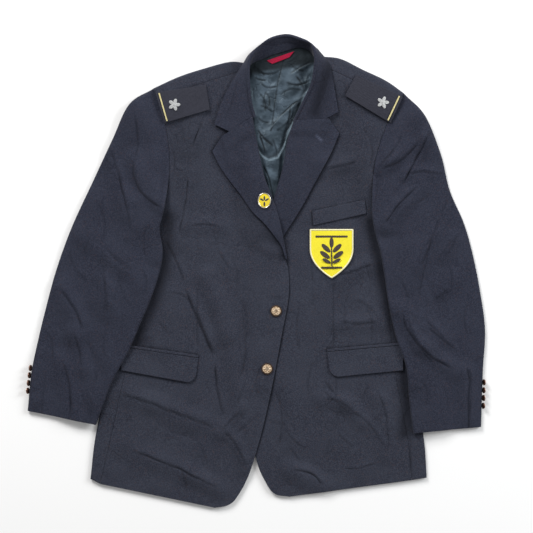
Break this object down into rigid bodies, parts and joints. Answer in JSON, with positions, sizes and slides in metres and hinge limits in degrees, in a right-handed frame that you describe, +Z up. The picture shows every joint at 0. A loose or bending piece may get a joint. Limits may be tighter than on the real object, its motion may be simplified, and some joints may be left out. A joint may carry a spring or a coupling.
{
  "type": "blazer laid flat",
  "caption": "Single-breasted wool blazer laid flat on its back, unbuttoned, with notched lapels, flap pockets, shoulder boards and a chest badge.",
  "frame": {"origin": "on the floor under the middle of the laid blazer", "axes": "+Z up from the floor out of the front of the blazer, +Y towards the collar, +X towards the wearer's left sleeve"},
  "size_m": [0.8282, 0.8499, 0.0309],
  "materials": {
    "wool": "matt navy wool",
    "lining": "grey satin lining",
    "label": "crimson woven tape",
    "board": "dark grey cloth",
    "gold_braid": "gold braid",
    "silver_thread": "silver embroidery",
    "badge": "yellow twill patch",
    "enamel": "yellow enamel",
    "brass": "worn gold-coloured metal",
    "copper": "dark copper-coloured metal"
  },
  "bodies": {
    "root": {"back_right": "wool", "back_left": "wool", "front_right": "wool", "front_left": "wool", "side_right": "wool", "side_left": "wool", "lapel_right": "wool", "lapel_left": "wool", "collar": "wool", "collar_stand": "wool", "breast_pocket_welt": "wool", "topsleeve_right": "wool", "undersleeve_right": "wool", "pocket_flap_right": "wool", "pocket_jet_right": "wool", "topsleeve_left": "wool", "undersleeve_left": "wool", "pocket_flap_left": "wool", "pocket_jet_left": "wool", "back_lining": "lining", "neck_label": "label", "shoulder_board_right": "board", "board_stripe_right": "gold_braid", "board_rosette_right": "silver_thread", "shoulder_board_left": "board", "board_stripe_left": "gold_braid", "board_rosette_left": "silver_thread", "chest_badge": "badge", "lapel_pin": "enamel", "front_button_1": "brass", "front_button_2": "brass", "cuff_button_right_1": "copper", "cuff_button_right_2": "copper", "cuff_button_right_3": "copper", "cuff_button_right_4": "copper", "cuff_button_left_1": "copper", "cuff_button_left_2": "copper", "cuff_button_left_3": "copper", "cuff_button_left_4": "copper"}
  },
  "joints": []
}
